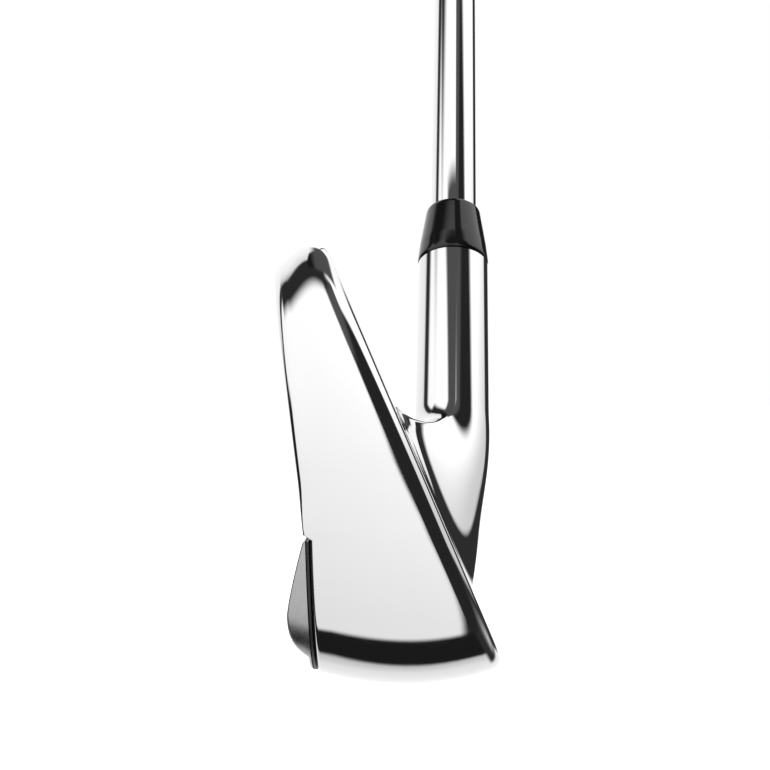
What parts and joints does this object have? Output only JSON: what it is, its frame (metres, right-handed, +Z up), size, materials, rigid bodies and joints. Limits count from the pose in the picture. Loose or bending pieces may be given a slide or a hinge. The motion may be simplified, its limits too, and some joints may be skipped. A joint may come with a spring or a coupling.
{
  "type": "iron golf club",
  "caption": "Right-handed mid iron with a polished hollow-body head, rear badge, black ferrule, stepped steel shaft and tapered rubber grip, standing at address.",
  "frame": {"origin": "on the shaft's axis, 110.5 mm below the butt, in the middle of where the hands hold the grip", "axes": "the club stands at address: +Z up, the strike face looks towards -Y, the toe points to -X and the shaft leans towards +X at a lie of 61.5 degrees; the sole's lowest line is 757.3 mm below the origin"},
  "size_m": [0.5531, 0.0411, 0.8598],
  "materials": {
    "polished_chrome": "mirror-polished chrome plate",
    "blasted_steel": "media-blasted steel face",
    "brushed_badge": "brushed satin metal",
    "black_polymer": "satin black polymer",
    "gloss_black": "polished black cellulose",
    "foam_tape": "acrylic foam tape",
    "plug_steel": "turned steel",
    "urethane": "cast urethane",
    "dense_alloy": "sintered tungsten alloy",
    "epoxy": "cured epoxy",
    "brass": "turned brass",
    "printed_band": "printed film wrap",
    "tape": "crepe paper tape",
    "grip_rubber": "matt textured rubber"
  },
  "bodies": {
    "root": {"head_body": "polished_chrome", "face_cup": "blasted_steel", "badge_plate": "brushed_badge", "badge_backing": "black_polymer", "badge_adhesive": "foam_tape", "fill_port_plug": "plug_steel", "damping_core": "urethane", "toe_weight": "dense_alloy", "heel_weight": "dense_alloy", "ferrule": "gloss_black", "hosel_bond": "epoxy", "shaft": "polished_chrome", "tip_weight": "brass", "shaft_band": "printed_band", "grip_tape": "tape", "grip": "grip_rubber", "grip_end_cap": "grip_rubber"}
  },
  "joints": []
}
